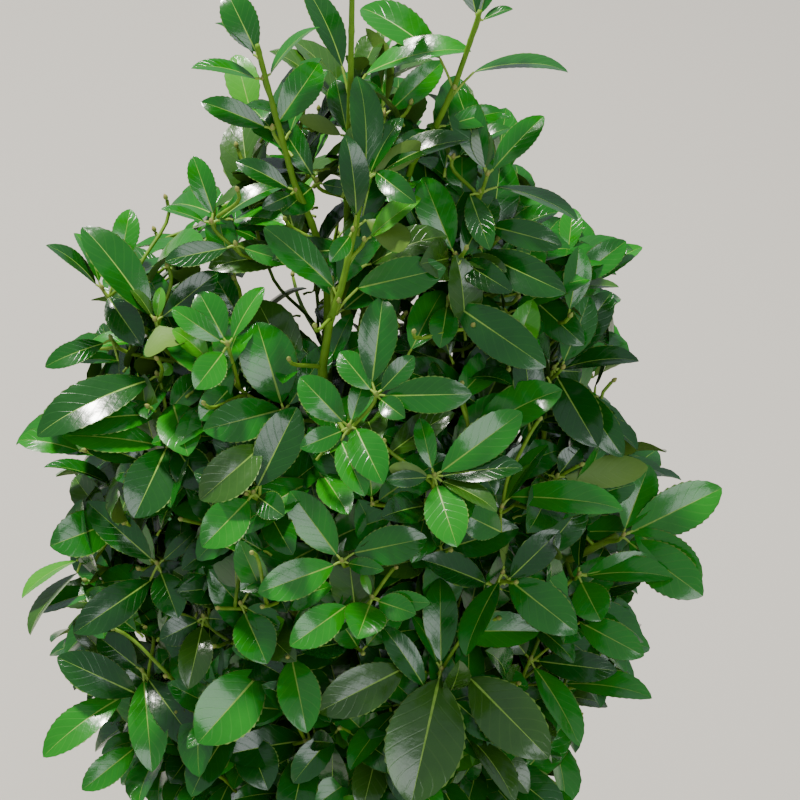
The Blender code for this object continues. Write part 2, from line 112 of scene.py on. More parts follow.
# Shoots that show in the photograph: the joint's pixel and its depth in metres, then each leaf as its
# tip's pixel, its width in pixels, how far it turns to the viewer in degrees, its age (m mature, y young,
# o old, u underside seen) and, where it isn't the joint, the pixel it starts from
seenShoots = {
    "leftTop": dict(at=(260, 60), y=0.004, leaves=[(227, -8, 36, -8), (215, 23, 9, -15)]),
    "leftSecond": dict(at=(264, 80), y=0.003, leaves=[(191, 68, 14, 5), (320, 27, 10, -10)]),
    "leftThird": dict(at=(273, 130), y=0.000, leaves=[(201, 102, 26, 5), (319, 63, 37, -15)]),
    "leftFourth": dict(at=(296, 192), y=-0.004, leaves=[(236, 162, 22, 0), (262, 208, 18, 20)]),
    "thinTop": dict(at=(317, 183), y=0.012, leaves=[(273, 114, 30, -10), (282, 213, 33, 45),
        (352, 190, 16, 20)]),
    "centreTop": dict(at=(352, -52), y=0.014, leaves=[]),
    "centreFirst": dict(at=(352, 8), y=0.016, leaves=[]),
    "centreSecond": dict(at=(349, 92), y=0.016, leaves=[(305, -12, 29, -10, "m", (342, 66)),
        (471, 51, 25, 8, "m", (366, 74))]),
    "centreThird": dict(at=(348, 138), y=0.018, leaves=[(298, 118, 17, 5, "u"), (336, 80, 27, -10)]),
    "centreBack": dict(at=(384, 117), y=0.034, leaves=[(366, 28, 22, -5, "u"), (443, 61, 29, 0),
        (393, 38, 16, -20)]),
    "frontTop": dict(at=(366, 180), y=-0.026, leaves=[(357, 76, 34, -5),
        (345, 135, 30, 15, "m", (356, 214)), (470, 140, 23, 5, "m", (382, 172)),
        (421, 142, 24, 15, "u"), (403, 118, 22, -10), (416, 203, 26, 30, "m", (376, 172))]),
    "frontSecond": dict(at=(353, 232), y=-0.032, leaves=[(408, 245, 30, 40, "u", (366, 220)),
        (330, 262, 20, 30)]),
    "frontThird": dict(at=(339, 303), y=-0.040, leaves=[(264, 227, 36, 0, "m", (333, 287)),
        (446, 268, 42, 10, "m", (358, 288))]),
    "rightTop": dict(at=(478, 22), y=0.020, leaves=[(464, -38, 24, -5), (494, -34, 20, -5),
        (513, 9, 9, 0)]),
    "rightSecond": dict(at=(454, 90), y=0.016, leaves=[(361, 8, 38, -25, "m", (440, 58)),
        (568, 72, 15, 5, "m", (474, 72))]),
    "rightThird": dict(at=(437, 128), y=0.018, leaves=[(503, 112, 23, -5), (392, 150, 20, 20)]),
    "rightSide": dict(at=(487, 176), y=0.002, leaves=[(456, 87, 36, -10), (479, 123, 22, 0, "o"),
        (544, 116, 28, -5)]),
    "rightSideLow": dict(at=(480, 194), y=0.002, leaves=[(578, 221, 15, 15, "m", (497, 187)),
        (490, 250, 28, 30, "m", (470, 195))]),
    "rightBack": dict(at=(462, 216), y=0.020, leaves=[(462, 146, 32, -10),
        (524, 206, 20, 10, "m", (484, 205)), (405, 222, 30, 20)]),
    "rightNode": dict(at=(455, 257), y=-0.016, leaves=[(423, 177, 40, -5), (420, 264, 44, 60, "o"),
        (507, 272, 17, 30, "o"), (512, 292, 30, 35)]),
    "rightOuter": dict(at=(480, 248), y=-0.010, leaves=[(566, 293, 40, 20, "m", (482, 254)),
        (562, 246, 30, 5, "m", (489, 226))]),
    "rightFar": dict(at=(522, 262), y=0.010, leaves=[(608, 262, 26, 0, "m", (525, 254)),
        (573, 208, 24, -20, "m", (568, 252)), (626, 241, 30, -5, "m", (572, 282)), (560, 218, 30, -10)]),
    "rightFarLow": dict(at=(548, 290), y=0.012, leaves=[(619, 287, 11, 5, "o"),
        (584, 345, 36, 20, "m", (530, 296))]),
    "rightCore": dict(at=(448, 300), y=-0.030, leaves=[(546, 367, 46, 15), (440, 348, 30, 40)]),
    "rightRosette": dict(at=(553, 370), y=-0.006, leaves=[(612, 292, 38, -5), (639, 361, 21, 8),
        (598, 447, 46, 20), (623, 457, 34, 10, "m", (575, 388)), (528, 446, 26, 15), (582, 372, 30, -20)]),
    "shoulderTop": dict(at=(212, 224), y=0.002, leaves=[(193, 156, 26, -5, "m", (213, 213)),
        (161, 209, 10, 5), (284, 187, 18, -5), (233, 205, 12, -20, "y")]),
    "shoulderSecond": dict(at=(236, 246), y=-0.004, leaves=[(165, 261, 25, 10), (290, 262, 20, 10)]),
    "shoulderPale": dict(at=(306, 254), y=0.010, leaves=[(208, 268, 32, 15, "o"),
        (237, 229, 19, 5, "m", (300, 224))]),
    "leftA": dict(at=(103, 290), y=0.016, leaves=[(46, 245, 15, 5),
        (130, 209, 28, -10, "m", (120, 264)), (74, 233, 16, -15), (142, 346, 34, 20)]),
    "leftALow": dict(at=(112, 340), y=0.012, leaves=[(45, 367, 24, 10),
        (78, 362, 12, 0, "m", (118, 361))]),
    "leftB": dict(at=(156, 322), y=-0.014, leaves=[(82, 227, 42, -8), (218, 272, 30, -5),
        (161, 287, 13, 0, "y"), (129, 287, 12, 0, "o"), (167, 348, 48, 62, "u")]),
    "leftC": dict(at=(228, 346), y=-0.040, leaves=[(172, 308, 25, 0), (199, 292, 36, -10),
        (264, 287, 22, -5), (195, 389, 34, 25)]),
    "leftCLow": dict(at=(284, 412), y=-0.046, leaves=[(257, 322, 58, 0),
        (203, 430, 44, 15, "m", (280, 410)), (330, 345, 30, -10)]),
    "leftBack": dict(at=(240, 318), y=0.016, leaves=[(212, 272, 30, -5), (292, 325, 26, 5),
        (262, 296, 24, 0), (195, 318, 26, 5)]),
    "gapLow": dict(at=(326, 372), y=-0.030, leaves=[(296, 342, 24, -5), (303, 338, 12, -10),
        (352, 314, 20, -5)]),
    "leftD": dict(at=(158, 376), y=-0.018, leaves=[(37, 436, 44, 10), (172, 365, 14, -10, "y")]),
    "leftE": dict(at=(166, 414), y=-0.030, leaves=[(58, 428, 36, 10),
        (62, 436, 34, 12, "m", (158, 445)), (188, 456, 46, 40, "m", (173, 404)), (200, 376, 30, -10)]),
    "leftF": dict(at=(236, 382), y=-0.036, leaves=[(200, 420, 32, 25), (250, 330, 26, -20)]),
    "leftG": dict(at=(170, 440), y=-0.040, leaves=[(134, 518, 52, 20), (206, 490, 40, 25)]),
    "leftH": dict(at=(124, 490), y=0.000, leaves=[(44, 467, 13, 5), (50, 546, 46, 15, "m", (118, 520))]),
    "leftI": dict(at=(158, 565), y=-0.046, leaves=[(87, 502, 36, 0), (178, 618, 36, 25),
        (196, 531, 18, 0), (177, 592, 32, 25, "m", (235, 586)), (74, 633, 40, 18, "m", (150, 581))]),
    "leftDroop": dict(at=(84, 556), y=-0.010, leaves=[(22, 598, 13, 15, "y"),
        (30, 635, 14, 20, "o", (77, 573))]),
    "leftJ": dict(at=(143, 672), y=-0.058, leaves=[(98, 636, 34, 0), (57, 657, 42, 8, "m", (137, 694)),
        (152, 772, 40, 22), (200, 750, 38, 20), (43, 757, 36, 10, "m", (122, 697))]),
    "leftK": dict(at=(142, 742), y=-0.054, leaves=[(82, 790, 30, 15),
        (170, 783, 34, 30, "m", (192, 752)), (213, 752, 24, 20)]),
    "centreH": dict(at=(376, 396), y=-0.076, leaves=[(383, 296, 40, -5, "m", (372, 382)),
        (414, 356, 24, 0), (472, 394, 38, 5), (340, 352, 30, -15), (405, 418, 24, 30)]),
    "centreT": dict(at=(349, 428), y=-0.082, leaves=[(383, 484, 40, 30, "m", (356, 429)),
        (365, 496, 32, 25, "m", (341, 441)), (300, 377, 38, 0), (366, 375, 22, -15), (300, 448, 26, 20)]),
    "centreI": dict(at=(254, 494), y=-0.080, leaves=[(297, 407, 46, 0), (194, 472, 28, 5),
        (202, 547, 44, 20), (284, 516, 30, 40), (200, 500, 46, 10, "o", (262, 446))]),
    "centreF": dict(at=(342, 562), y=-0.092, leaves=[(290, 491, 40, 5), (258, 593, 40, 15),
        (427, 538, 40, 10, "m", (354, 553)), (384, 570, 18, 30)]),
    "centreG": dict(at=(372, 599), y=-0.102, leaves=[(357, 639, 44, 42),
        (290, 646, 38, 18, "m", (346, 606)), (416, 614, 28, 25), (362, 572, 10, -10, "y"),
        (430, 603, 22, 20)]),
    "centreE": dict(at=(241, 605), y=-0.080, leaves=[(267, 664, 44, 25),
        (325, 602, 26, 15, "m", (252, 588)), (282, 628, 28, 20)]),
    "centreK": dict(at=(290, 650), y=-0.092, leaves=[(307, 733, 44, 22), (232, 648, 24, 0)]),
    "lowL": dict(at=(204, 618), y=-0.062, leaves=[(188, 689, 34, 25, "o"), (232, 620, 24, 20),
        (160, 640, 30, 10)]),
    "lowM": dict(at=(268, 664), y=-0.088, leaves=[(198, 743, 62, 15)]),
    "lowN": dict(at=(244, 730), y=-0.084, leaves=[(268, 790, 44, 25), (212, 776, 26, 25)]),
    "rosetteP": dict(at=(434, 477), y=-0.092, leaves=[(522, 412, 42, -5), (523, 468, 28, 5),
        (389, 468, 19, 10, "u"), (457, 547, 44, 28), (386, 480, 18, 15), (420, 418, 22, -15),
        (497, 512, 20, 20, "o")]),
    "shootP": dict(at=(501, 508), y=-0.070, leaves=[(623, 510, 34, 5, "m", (510, 497)),
        (531, 464, 9, 0, "y"), (460, 512, 36, 15, "m", (501, 532)), (548, 445, 18, -10)]),
    "shootQ": dict(at=(502, 574), y=-0.080, leaves=[(577, 633, 46, 15), (516, 522, 9, 0, "u"),
        (466, 656, 28, 30)]),
    "rightPale": dict(at=(556, 478), y=-0.040, leaves=[(648, 467, 34, 5, "u"), (505, 459, 14, 10, "o"),
        (580, 448, 26, 0)]),
    "armK": dict(at=(622, 537), y=-0.024, leaves=[(649, 465, 38, -10), (722, 488, 48, 0),
        (703, 596, 48, 15), (702, 580, 42, 5, "m", (634, 530))]),
    "armL": dict(at=(578, 576), y=-0.040, leaves=[(673, 578, 27, 10), (586, 518, 16, -10),
        (601, 621, 40, 25), (655, 560, 30, 0), (644, 656, 36, 15, "m", (580, 622))]),
    "armM": dict(at=(530, 660), y=-0.050, leaves=[(617, 671, 32, 10),
        (652, 698, 28, 12, "m", (566, 684)), (500, 620, 34, 0, "o"), (579, 746, 30, 20)]),
    "oldQ": dict(at=(441, 670), y=-0.098, leaves=[(411, 804, 80, 18, "o"),
        (549, 758, 60, 18, "o", (470, 678)), (318, 712, 48, 12, "o", (404, 668)), (440, 578, 36, -12),
        (383, 627, 28, 0, "m", (424, 686)), (412, 616, 16, -5), (500, 741, 30, 25, "m", (456, 702))]),
    "oldR": dict(at=(402, 704), y=-0.096, leaves=[(318, 724, 22, 10), (392, 742, 18, 30),
        (514, 803, 26, 25, "o", (470, 738)), (350, 770, 26, 30)]),
    "oldS": dict(at=(380, 740), y=-0.096, leaves=[(362, 812, 36, 25, "o")]),
}

# Windows where the crown is open: left, top, right, bottom pixel
openWindows = [
    (248, 268, 300, 300), (292, 300, 318, 343), (320, 327, 360, 348), (318, 188, 344, 214),
    (202, 282, 238, 300), (355, 248, 364, 268), (402, 300, 434, 314), (541, 322, 558, 362),
    (457, 402, 478, 418), (502, 434, 526, 453), (227, 380, 248, 394), (137, 627, 156, 652),
    (442, 554, 476, 564), (602, 517, 618, 528), (597, 537, 611, 548), (300, -140, 345, 60),
    (390, -140, 452, 30), (240, 30, 262, 60), (60, 560, 80, 590),
]


# sRGB hex to the linear numbers a shader takes
def linear(hexColor):
    parts = [int(hexColor[k:k + 2], 16) / 255 for k in (1, 3, 5)]
    return (*[p / 12.92 if p <= 0.04045 else ((p + 0.055) / 1.055) ** 2.4 for p in parts], 1.0)


# A node with its settings, and links given as input name or number to an output socket
def addNode(tree, kind, settings=None, links=None):
    made = tree.nodes.new(kind)
    for name, value in (settings or {}).items():
        if isinstance(name, str) and hasattr(made, name):
            setattr(made, name, value)
        else:
            made.inputs[name].default_value = value
    for name, source in (links or {}).items():
        tree.links.new(source, made.inputs[name])
    return made


# A noise scale whose patches are this many millimetres across
def patches(millimetres):
    return 1000 / millimetres


def newMaterial(name, roughness, specular=0.5):
    made = bpy.data.materials.new(name)
    made.use_nodes = True
    shader = made.node_tree.nodes["Principled BSDF"]
    shader.inputs["Roughness"].default_value = roughness
    shader.inputs["Specular IOR Level"].default_value = specular
    return made, made.node_tree, shader


veinTurns = 50.0  # radians along a blade, for eight pairs of side veins


# A leaf blade: mottled green with paler side veins that also stand in relief
def leafMaterial(name, dark, light, vein, roughness, veinDepth):
    made, tree, shader = newMaterial(name, roughness)
    place = addNode(tree, "ShaderNodeUVMap", {"uv_map": "leaf"})
    parts = addNode(tree, "ShaderNodeSeparateXYZ", None, {0: place.outputs[0]})
    side = addNode(tree, "ShaderNodeMath", {"operation": "ABSOLUTE"}, {0: addNode(
        tree, "ShaderNodeMath", {"operation": "SUBTRACT", 1: 0.5}, {0: parts.outputs[0]}).outputs[0]})
    slant = addNode(tree, "ShaderNodeMath", {"operation": "MULTIPLY_ADD", 1: -0.55},
                    {0: side.outputs[0], 2: parts.outputs[1]})
    turns = addNode(tree, "ShaderNodeMath", {"operation": "MULTIPLY", 1: veinTurns}, {0: slant.outputs[0]})
    wave = addNode(tree, "ShaderNodeMath", {"operation": "SINE"}, {0: turns.outputs[0]})
    line = addNode(tree, "ShaderNodeMapRange", {"From Min": 0.86, "From Max": 1.0}, {0: wave.outputs[0]})
    where = addNode(tree, "ShaderNodeTexCoord")
    mottle = addNode(tree, "ShaderNodeTexNoise", {"Scale": patches(16.67), "Detail": 3.0},
                     {"Vector": where.outputs["Object"]})
    ramp = addNode(tree, "ShaderNodeMix", {"data_type": "RGBA"}, {0: mottle.outputs[0]})
    ramp.inputs[6].default_value = linear(dark)
    ramp.inputs[7].default_value = linear(light)
    faint = addNode(tree, "ShaderNodeMath", {"operation": "MULTIPLY", 1: 0.12}, {0: line.outputs[0]})
    final = addNode(tree, "ShaderNodeMix", {"data_type": "RGBA"},
                    {0: faint.outputs[0], 6: ramp.outputs[2]})
    final.inputs[7].default_value = linear(vein)
    tree.links.new(final.outputs[2], shader.inputs["Base Color"])
    wrinkle = addNode(tree, "ShaderNodeTexNoise", {"Scale": patches(3.846), "Detail": 2.0},
                      {"Vector": where.outputs["Object"]})
    height = addNode(tree, "ShaderNodeMath", {"operation": "MULTIPLY_ADD", 1: -0.35},
                     {0: line.outputs[0], 2: wrinkle.outputs[0]})
    bump = addNode(tree, "ShaderNodeBump", {"Strength": veinDepth, "Distance": 0.0006},
                   {"Height": height.outputs[0]})
    tree.links.new(bump.outputs[0], shader.inputs["Normal"])
    shader.inputs["Coat Weight"].default_value = 0.5 if roughness < 0.3 else 0.0
    shader.inputs["Coat Roughness"].default_value = 0.12
    return made


# A surface with patches of two colours, their size in millimetres, and fine relief
def speckledMaterial(name, dark, light, size, roughness, depth, specular=0.3):
    made, tree, shader = newMaterial(name, roughness, specular)
    where = addNode(tree, "ShaderNodeTexCoord")
    spots = addNode(tree, "ShaderNodeTexNoise", {"Scale": patches(size), "Detail": 5.0},
                    {"Vector": where.outputs["Object"]})
    spread = addNode(tree, "ShaderNodeMapRange", {"From Min": 0.35, "From Max": 0.65},
                     {0: spots.outputs[0]})
    blend = addNode(tree, "ShaderNodeMix", {"data_type": "RGBA"}, {0: spread.outputs[0]})
    blend.inputs[6].default_value = linear(dark)
    blend.inputs[7].default_value = linear(light)
    tree.links.new(blend.outputs[2], shader.inputs["Base Color"])
    bump = addNode(tree, "ShaderNodeBump", {"Strength": depth, "Distance": 0.0008},
                   {"Height": spots.outputs[0]})
    tree.links.new(bump.outputs[0], shader.inputs["Normal"])
    return made


# Grey-brown cracked bark below that gives way to smooth yellow-green bark between two heights
def barkMaterial(name, low, high):
    made, tree, shader = newMaterial(name, 0.6, 0.3)
    where = addNode(tree, "ShaderNodeTexCoord")
    spots = addNode(tree, "ShaderNodeTexNoise", {"Scale": patches(7.143), "Detail": 5.0},
                    {"Vector": where.outputs["Object"]})
    parts = addNode(tree, "ShaderNodeSeparateXYZ", None, {0: where.outputs["Object"]})
    uneven = addNode(tree, "ShaderNodeMath", {"operation": "MULTIPLY_ADD", 1: 0.08},
                     {0: spots.outputs[0], 2: parts.outputs[2]})
    age = addNode(tree, "ShaderNodeMapRange", {"From Min": low + 0.04, "From Max": high + 0.04},
                  {0: uneven.outputs[0]})
    old = addNode(tree, "ShaderNodeMix", {"data_type": "RGBA"}, {0: spots.outputs[0]})
    old.inputs[6].default_value = linear("#3c3320")
    old.inputs[7].default_value = linear("#7a7048")
    young = addNode(tree, "ShaderNodeMix", {"data_type": "RGBA"}, {0: spots.outputs[0]})
    young.inputs[6].default_value = linear("#4c7c10")
    young.inputs[7].default_value = linear("#78a424")
    blend = addNode(tree, "ShaderNodeMix", {"data_type": "RGBA"},
                    {0: age.outputs[0], 6: old.outputs[2], 7: young.outputs[2]})
    tree.links.new(blend.outputs[2], shader.inputs["Base Color"])
    bump = addNode(tree, "ShaderNodeBump", {"Strength": 0.4, "Distance": 0.0006},
                   {"Height": spots.outputs[0]})
    tree.links.new(bump.outputs[0], shader.inputs["Normal"])
    return made


# The way from the view to a pixel, one metre deep
def seenRay(u, v):
    across, rise = (u - pictureMiddle) / pixelFocus, (pictureMiddle - v) / pixelFocus
    return forward + Vector((1, 0, 0)) * across + upward * rise


# The point at a depth y that shows at a pixel
def placeAt(u, v, y):
    ray = seenRay(u, v)
    return viewPoint + ray * ((y - viewPoint.y) / ray.y)


# The pixel a point shows at, and its distance along the view
def seenAt(place):
    way = place - viewPoint
    depth = way.dot(forward)
    return (pictureMiddle + pixelFocus * way.x / depth,
            pictureMiddle - pixelFocus * way.dot(upward) / depth, depth)


def smoothPath(bends, pieces):
    bends = [Vector(bend) for bend in bends]
    points = [bends[0]]
    for number in range(len(bends) - 1):
        before, after = bends[max(number - 1, 0)], bends[min(number + 2, len(bends) - 1)]
        here, there = bends[number], bends[number + 1]
        points += interpolate_bezier(here, here + (there - before) / 6, there - (after - here) / 6,
                                     there, pieces + 1)[1:]
    return points


def runOf(points):
    run = [0.0]
    for first, second in zip(points, points[1:]):
        run.append(run[-1] + (second - first).length)
    return run


# Vertices, faces, material numbers and UVs of many small shapes, joined as one mesh
class Pile:
    def __init__(self):
        self.points, self.faces, self.looks, self.spots = [], [], [], []
        self.count = 0

    def add(self, points, faces, looks, spots=None):
        self.points.append(np.asarray(points, np.float32))
        self.faces += [[corner + self.count for corner in face] for face in faces]
        self.looks += looks
        if spots is not None:
            self.spots.append(spots)
        self.count += len(points)

    def build(self, name, looks, slotName):
        mesh = bpy.data.meshes.new(name)
        mesh.from_pydata(np.concatenate(self.points).tolist(), [], self.faces)
        mesh.polygons.foreach_set("material_index", self.looks)
        mesh.polygons.foreach_set("use_smooth", [True] * len(self.faces))
        if self.spots:
            layer = mesh.uv_layers.new(name="leaf")
            layer.data.foreach_set("uv", np.concatenate(self.spots).astype(np.float32).ravel())
        for look in looks:
            mesh.materials.append(look)
        mesh.update()
        made = bpy.data.objects.new(name, mesh)
        bpy.context.scene.collection.objects.link(made)
        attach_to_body(made, "root")
        triangles = sum(len(face) - 2 for face in self.faces)
        print(name, triangles, "triangles")
        return made


# A round limb along points, with knobbly relief as a share of its radius
def tube(pile, points, radii, sides, look, relief=0.0, capped=True):
    rings, frameSide = [], None
    for number, place in enumerate(points):
        way = (points[min(number + 1, len(points) - 1)] - points[max(number - 1, 0)]).normalized()
        if frameSide is None:
            frameSide = way.orthogonal().normalized()
        frameSide = (frameSide - way * frameSide.dot(way)).normalized()
        other = way.cross(frameSide)
        for k in range(sides):
            angle = 2 * math.pi * k / sides
            out = frameSide * math.cos(angle) + other * math.sin(angle)
            radius = radii[number]
            if relief:
                radius *= 1 + relief * noise.noise((place + out * radius) * 260) \
                    + 0.5 * relief * noise.noise((place + out * radius) * 900)
            rings.append(place + out * radius)
    faces = []
    for number in range(len(points) - 1):
        for k in range(sides):
            a, b = number * sides + k, number * sides + (k + 1) % sides
            faces.append([a, b, b + sides, a + sides])
    if capped:
        last = (len(points) - 1) * sides
        faces.append(list(range(sides))[::-1])
        faces.append([last + k for k in range(sides)])
    pile.add(rings, faces, [look] * len(faces))


leafWidest = 0.54


# Width at a share of the length: a wedge at the base, widest just past the middle, a blunt tip
def leafOutline(along):
    along = min(max(along, 0.0), 1.0)
    return (along / leafWidest) ** 0.82 * ((1 - along) / (1 - leafWidest)) ** 0.70


# One leaf on a unit length and width: toothed outline, fold along the midrib, arch and thin underside
def leafTemplate(seed, stations):
    dice = random.Random(seed)
    fold = dice.uniform(0.30, 0.55)
    arch = dice.uniform(0.03, 0.09)
    curl = dice.uniform(0.02, 0.09)
    wave = dice.uniform(0.0, 0.05)
    phase = dice.uniform(0, 6.28)
    points, faces, looks, spots = [], [], [], []
    tipCurl = 0.72
    for under in (False, True):
        form = bmesh.new()
        bmesh.ops.create_grid(form, x_segments=2 if under else 5, y_segments=stations, size=0.5)
        outer = [edge for edge in form.edges if all(abs(c.co.x) > 0.49 for c in edge.verts)]
        bmesh.ops.subdivide_edges(form, edges=outer, cuts=1)
        form.verts.ensure_lookup_table()
        start = len(points)
        placed = {}
        for corner in form.verts:
            side, along = corner.co.x * 2, corner.co.y + 0.5
            step = along * stations
            tooth = abs(side) > 0.98 and abs(step - round(step)) > 0.25
            if tooth:
                along += 0.20 / stations
            half = 0.5 * max(leafOutline(along), 0.022 * (1 - along))
            if abs(side) > 0.98:
                cross = half * (1.02 if tooth else 0.965)
            elif abs(side) > 0.5:
                cross = half * 0.58
            elif abs(side) > 0.01:
                cross = min(0.020 * (1.05 - along), half * 0.6)
            else:
                cross = 0.0
            sign = (side > 0) - (side < 0)
            share = cross / max(half, 1e-6)
            lift = cross * fold - 0.16 * half * share ** 2
            lift += wave * half * share * math.sin(9 * along + phase + sign)
            if under and cross == 0.0:
                lift = -0.022
            bow = arch * 4 * along * (1 - along) - curl * max(0.0, along - tipCurl) ** 2 * 6
            bow += curl * 6 * (1 - tipCurl) ** 2 * along
            points.append((sign * cross, along, lift, bow))
            placed[corner] = start + len(placed)
        for face in form.faces:
            corners = [placed[c] for c in face.verts]
            middle = face.calc_center_median()
            rib = not under and abs(middle.x) < 0.05
            faces.append(corners[::-1] if under else corners)
            looks.append(1 if rib else 2 if under else 0)
        form.free()
    for face in faces:
        for corner in face:
            x, y = points[corner][:2]
            half = 0.5 * max(leafOutline(y), 0.05)
            spots.append((0.5 + 0.5 * x / half, y))
    return np.array(points), faces, looks, np.array(spots)


# A leaf from its base to its tip. look is its blade's material number
def addLeaf(pile, template, base, tip, normal, width, look):
    points, faces, looks, spots = template
    span = tip - base
    length = span.length
    along = span / length
    normal = (normal - along * normal.dot(along)).normalized()
    across = along.cross(normal)
    rows = np.outer(points[:, 0] * width, across) + np.outer(points[:, 1] * length, along) \
        + np.outer(points[:, 2] * width + points[:, 3] * length, normal) + np.array(base)
    pile.add(rows, faces, [look if part == 0 else part for part in looks], spots)


# Faces the sky, turned so that the leaf shows as wide as it does from the view
def leafNormal(base, tip, seenWidth, width, showsUnder):
    along = (tip - base).normalized()
    toView = (viewPoint - base).normalized()
    facing = (toView - along * toView.dot(along)).normalized()
    sideways = along.cross(facing)
    share = max(0.12, min(1.0, seenWidth / width))
    lean = math.sqrt(1 - share * share)
    front = -share if showsUnder else share
    options = [facing * front + sideways * lean, facing * front - sideways * lean]
    return max(options, key=lambda way: way.z)


# Limbs, kept as points that later twigs grow from
grown = {"places": [], "radii": []}


# Keeps a limb's points 5 mm apart, with their radii
def keepLimb(points, radii):
    run = runOf(points)
    for number in range(len(points) - 1):
        steps = max(1, int((run[number + 1] - run[number]) / 0.005))
        for k in range(steps):
            share = k / steps
            grown["places"].append(points[number].lerp(points[number + 1], share))
            grown["radii"].append(radii[number] + (radii[number + 1] - radii[number]) * share)


# A stem's points and radii, upright and flared at its foot
def stemShape(name):
    root, tip, bends = stems[name]
    points = smoothPath(bends, 2)
    foot = points[0]
    points[1:1] = [foot + Vector((0, 0, 0.0049)), foot + Vector((0, 0, 0.014))]
    run = runOf(points)
    radii = [root + (tip - root) * along / run[-1] for along in run]
    radii[0] *= 1.75
    radii[1] *= 1.26
    return points, radii


# A bough's points and radii, from its place on the stem
def boughShape(name):
    stem, height, root, tip, bend, end = boughs[name]
    points, _ = stemShape(stem)
    start = points[-1]
    for low, high in zip(points, points[1:]):
        if low.z <= height <= high.z:
            start = low.lerp(high, (height - low.z) / (high.z - low.z))
            break
    points = smoothPath([start, bend, end], 2)
    run = runOf(points)
    return points, [root + (tip - root) * along / run[-1] for along in run]


# The same limb with rings this far apart, slightly swollen at its joints
def finer(points, radii, spacing):
    run = runOf(points)
    count = max(2, int(run[-1] / spacing))
    newPoints, newRadii, number = [], [], 0
    for k in range(count + 1):
        want = run[-1] * k / count
        while number < len(run) - 2 and run[number + 1] < want:
            number += 1
        share = (want - run[number]) / (run[number + 1] - run[number])
        newPoints.append(points[number].lerp(points[number + 1], min(share, 1.0)))
        radius = radii[number] + (radii[number + 1] - radii[number]) * min(share, 1.0)
        joint = math.exp(-((want % 0.034 - 0.017) / 0.0022) ** 2)
        newRadii.append(radius * (1 + 0.16 * joint * (want > 0.03)))
    return newPoints, newRadii


# The best point on what has grown so far for a twig to this place, below and inward of it
def attach(place):
    spots = np.array(grown["places"])
    away = spots - np.array(place)
    cost = np.linalg.norm(away, axis=1) + 1.6 * np.maximum(0.0, away[:, 2] + 0.012)
    number = int(np.argmin(cost))
    return number, float(cost[number])


# A curved twig from a grown point to a place, arriving along axis
def growTwig(pile, number, place, axis, look, tipRadius=0.0010):
    start = grown["places"][number].copy()
    span = (place - start).length
    if span < 0.004:
        return
    root = min(grown["radii"][number] * 0.8, tipRadius + 0.010 * span)
    out = (place - start).normalized()
    bend = start + (out + Vector((0, 0, 0.10))).normalized() * span * 0.4
    points = interpolate_bezier(start, bend, place - axis * span * 0.35, place, 7)
    radii = [max(root, tipRadius) + (tipRadius - max(root, tipRadius)) * k / 6 for k in range(7)]
    tube(pile, points, radii, 7, look)
    keepLimb(points, radii)


stemPile, boughPile, twigPile, leafPile, backPile, stalkPile, budPile = (Pile() for _ in range(7))
for name in stems:
    points, radii = stemShape(name)
    points, radii = finer(points, radii, 0.0022)
    # Leaders are slimmer than the solids above 0.45 m
    radii = [radius * (1 - 0.30 * min(1.0, max(0.0, (place.z - 0.45) / 0.15)))
             for place, radius in zip(points, radii)]
    tube(stemPile, points, radii, 14, 0, relief=0.06)
    keepLimb(points, radii)
for name in boughs:
    points, radii = boughShape(name)
    tube(boughPile, *finer(points, radii, 0.0024), 10, 0, relief=0.09)
    keepLimb(*finer(points, radii, 0.01))
print("limbs grown")

# Blade colours by number: 0 deep, 1 mid, 2 fresh, 3 shade, 4 young, 5 old. The first three looks of a
# leaf piece are the blade of the template, its midrib and its underside.
youngBlade, oldBlade, firstBlade = 4, 5, 3
fineTeeth, coarseTeeth = 13, 7
blades = [leafTemplate(seed, fineTeeth) for seed in range(12)]
coarseBlades = [leafTemplate(seed, coarseTeeth) for seed in range(20, 30)]


# A leaf stalk, bowed slightly upwards
def stalk(start, end, radius=0.0007):
    middle = start.lerp(end, 0.5) + Vector((0, 0, 0.0006))
    tube(stalkPile, [start, middle, end], [radius * 1.25, radius, radius * 0.9], 5, 0, capped=False)


budLength = 0.004
shown = []
dice = random.Random(41)


